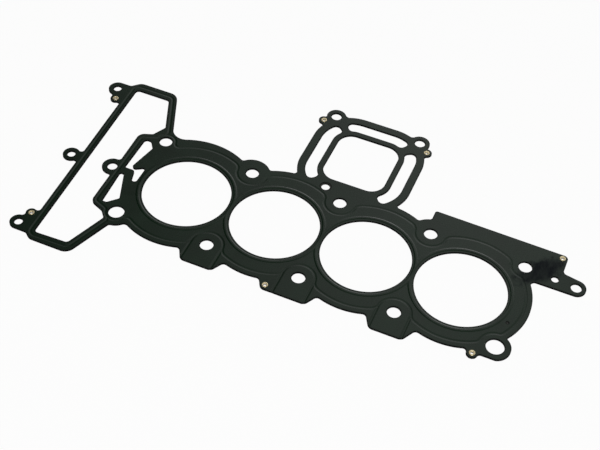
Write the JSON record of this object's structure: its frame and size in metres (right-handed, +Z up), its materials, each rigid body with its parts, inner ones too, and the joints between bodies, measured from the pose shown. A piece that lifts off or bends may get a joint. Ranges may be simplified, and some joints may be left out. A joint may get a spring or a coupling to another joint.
{
  "type": "cylinder head gasket",
  "caption": "Thin layered steel cylinder head gasket with beaded bores in a row, a chain case frame at one end and an exhaust port flange, clinched by small hollow eyelets.",
  "frame": {"origin": "middle of the head bolt pattern, in the row's centre line midway between the two middle bores, at the height of the lowest bead crowns", "axes": "+X along the row of bores, away from the chain case; +Y towards the exhaust flange; +Z up, from the block to the head"},
  "size_m": [0.5292, 0.2882, 0.0027],
  "materials": {
    "coated_sheet": "satin dark green grey rubber coating on steel sheet",
    "centre_steel": "dark coated steel sheet",
    "eyelet_brass": "rolled brass"
  },
  "bodies": {
    "root": {"upper_layer": "coated_sheet", "centre_layer": "centre_steel", "lower_layer": "coated_sheet", "rear_chain_eyelet": "eyelet_brass", "front_chain_eyelet": "eyelet_brass", "front_boss_eyelet": "eyelet_brass", "left_flange_eyelet": "eyelet_brass", "right_flange_eyelet": "eyelet_brass", "plate_corner_eyelet": "eyelet_brass", "front_right_eyelet": "eyelet_brass"}
  },
  "joints": []
}
